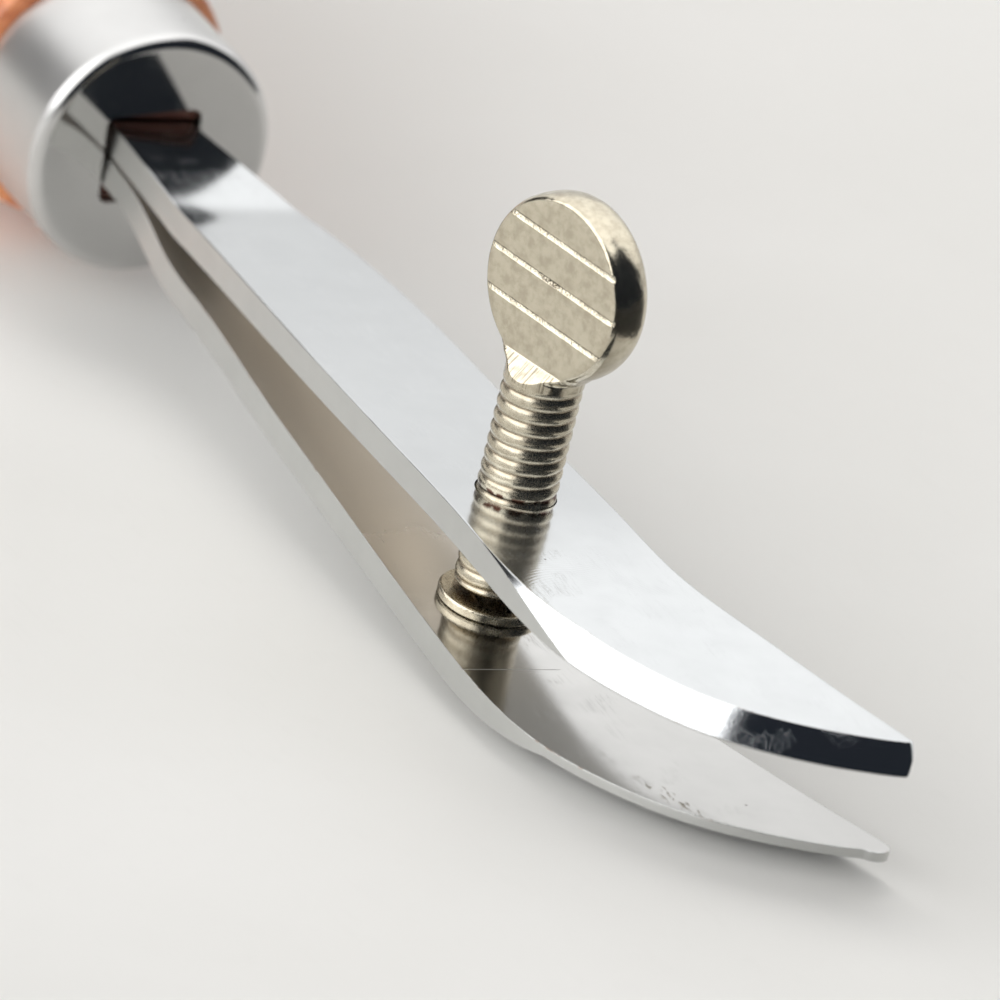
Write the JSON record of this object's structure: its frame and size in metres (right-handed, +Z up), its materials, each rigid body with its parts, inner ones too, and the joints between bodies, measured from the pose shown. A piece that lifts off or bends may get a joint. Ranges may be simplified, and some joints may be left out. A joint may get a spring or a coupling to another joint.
{
  "type": "leather edge creaser",
  "caption": "Leather edge creaser: sprung steel blades out of a ferruled wooden handle, with a thumbscrew that sets the gap between their curved tips.",
  "frame": {"origin": "centre of the flat face at the handle's butt end", "axes": "+X along the tool from the butt to the blade tips, +Z up along the thumbscrew's axis towards its head, +Y across the tool towards the side the tips curve to"},
  "size_m": [0.1686, 0.0238, 0.0309],
  "materials": {
    "handle_wood": "turned hardwood under a thin clear lacquer",
    "ferrule_steel": "drawn steel, brightly polished",
    "blade_steel": "spring steel with a bright satin polish and fine scratches; mirror-polished bevel",
    "nickel_plate": "warm bright nickel plate"
  },
  "bodies": {
    "grip": {"handle": "handle_wood", "ferrule": "ferrule_steel"},
    "upper_blade": {"upper_blade": "blade_steel"},
    "lower_blade": {"lower_blade": "blade_steel", "pivot_washer": "nickel_plate"},
    "screw_seat": {"retaining_washer": "nickel_plate"},
    "thumb_screw": {"thumb_screw": "nickel_plate"}
  },
  "joints": [
    {"name": "upper_flex", "type": "hinge", "parent": "grip", "child": "upper_blade", "pos_m": [0.1, 0, 0], "axis": [0, -1, 0], "range_deg": [-1.68, 3.33]},
    {"name": "lower_flex", "type": "hinge", "parent": "grip", "child": "lower_blade", "pos_m": [0.1, 0, 0], "axis": [0, 1, 0], "range_deg": [-1.68, 3.33]},
    {"name": "screw_lift", "type": "slide", "parent": "upper_blade", "child": "screw_seat", "axis": [0, 0, -1], "range_m": [-0.00245, 0.0049]},
    {"name": "screw_spin", "type": "hinge", "parent": "screw_seat", "child": "thumb_screw", "pos_m": [0.1424, 0, 0], "axis": [0, 0, -1], "range_deg": [-1260.5, 2520.5]}
  ],
  "couplings": [
    {"joint": "screw_spin", "follows": "screw_lift", "rad_per_m": 8976},
    {"joint": "upper_flex", "follows": "screw_lift", "rad_per_m": 11.792},
    {"joint": "lower_flex", "follows": "screw_lift", "rad_per_m": 11.792}
  ]
}
